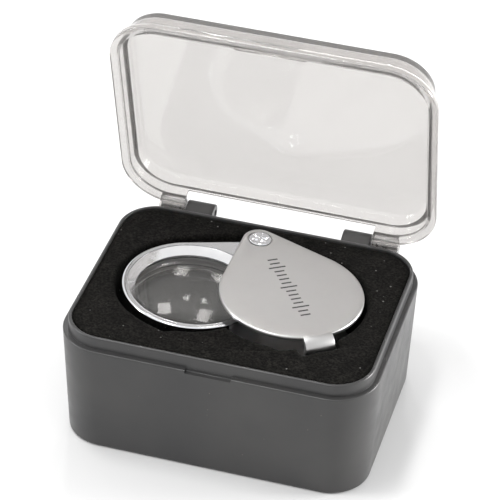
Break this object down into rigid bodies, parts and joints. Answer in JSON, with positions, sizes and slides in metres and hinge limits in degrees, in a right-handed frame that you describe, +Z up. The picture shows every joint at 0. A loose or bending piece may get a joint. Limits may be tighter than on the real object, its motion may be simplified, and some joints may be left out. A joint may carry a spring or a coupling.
{
  "type": "folding pocket loupe in a hard case",
  "caption": "Folding pocket loupe with a swing-out lens frame, lying in a foam-lined black hard case with a hinged clear lid.",
  "frame": {"origin": "centre of the case's underside, where it stands on a table", "axes": "+Z up, +X to the case's right along its front, +Y to the rear, where the lid is hinged"},
  "size_m": [0.0602, 0.0505, 0.0689],
  "materials": {
    "black_plastic": "satin moulded black",
    "clear_plastic": "clear moulded, faint warm tint",
    "foam": "flocked black foam",
    "satin_steel": "satin nickel plate",
    "bright_chrome": "bright polished plate",
    "steel": "plain",
    "brass_sleeve": "turned",
    "lens_glass": "polished, coated",
    "black_metal": "black anodised"
  },
  "bodies": {
    "case": {"case_base": "black_plastic", "hinge_pin_left": "steel", "hinge_pin_right": "steel", "foam_pad": "foam", "foam_insert": "foam", "foam_tongue": "foam"},
    "lid": {"case_lid": "clear_plastic"},
    "loupe": {"housing": "satin_steel", "pivot_rivet": "bright_chrome", "rivet_washer": "steel", "pivot_sleeve": "brass_sleeve", "friction_washer_front": "steel", "friction_washer_rear": "steel"},
    "lens": {"lens_frame": "bright_chrome", "retainer_front": "bright_chrome", "retainer_rear": "bright_chrome", "lens_front": "lens_glass", "lens_rear": "lens_glass", "lens_spacer": "black_metal"}
  },
  "joints": [
    {"name": "lid_hinge", "type": "hinge", "parent": "case", "child": "lid", "pos_m": [0, 0.02395, 0.02295], "axis": [1, 0, 0], "range_deg": [-28.2, 76.8]},
    {"name": "loupe_lift", "type": "slide", "parent": "case", "child": "loupe", "axis": [0, 0, 1], "range_m": [0, 0.03]},
    {"name": "lens_swing", "type": "hinge", "parent": "loupe", "child": "lens", "pos_m": [-0.00106, 0.01464, 0.02596], "axis": [0.0539, 0.0255, 0.9982], "range_deg": [0, 65.88], "deforming": ["foam_tongue"]}
  ]
}
